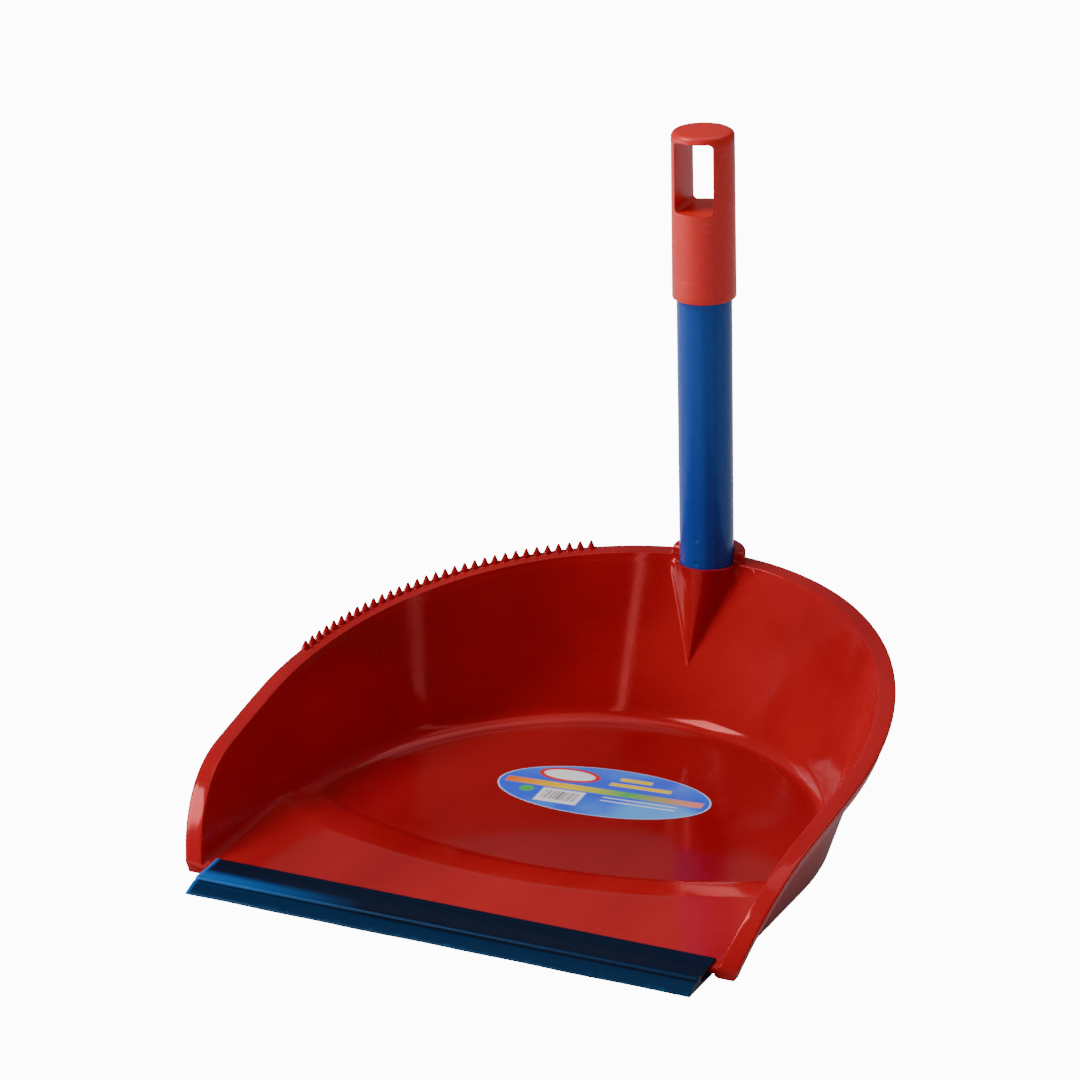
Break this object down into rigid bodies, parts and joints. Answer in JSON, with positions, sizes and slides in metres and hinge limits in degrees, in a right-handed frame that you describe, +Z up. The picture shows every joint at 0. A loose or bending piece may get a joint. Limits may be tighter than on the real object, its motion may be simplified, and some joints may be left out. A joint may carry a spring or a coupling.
{
  "type": "dust pan",
  "caption": "Flared dust pan with a soft front lip, a comb on its rim and a short handle that ends in a cap with a hanging window.",
  "frame": {"origin": "on the floor, midway across the pan, where its straight sides run into the bowed back; it lies on the flat underside of the basin", "axes": "+X to the pan's right seen from behind the front lip, +Y from the front lip to the back wall, +Z up"},
  "size_m": [0.266, 0.2903, 0.2673],
  "materials": {
    "pan_plastic": "gloss",
    "lip_vinyl": "satin",
    "label_film": "gloss film",
    "ferrule_plastic": "satin",
    "tube_steel": "bare",
    "sleeve_vinyl": "satin",
    "cap_plastic": "satin"
  },
  "bodies": {
    "root": {"pan": "pan_plastic", "front_lip": "lip_vinyl", "label": "label_film"},
    "handle": {"ferrule": "ferrule_plastic", "steel_tube": "tube_steel", "tube_sleeve": "sleeve_vinyl", "end_cap": "cap_plastic"}
  },
  "joints": [
    {"name": "handle_pull", "type": "slide", "parent": "root", "child": "handle", "axis": [0, -0.061, 0.9981], "range_m": [0, 0.04]}
  ]
}
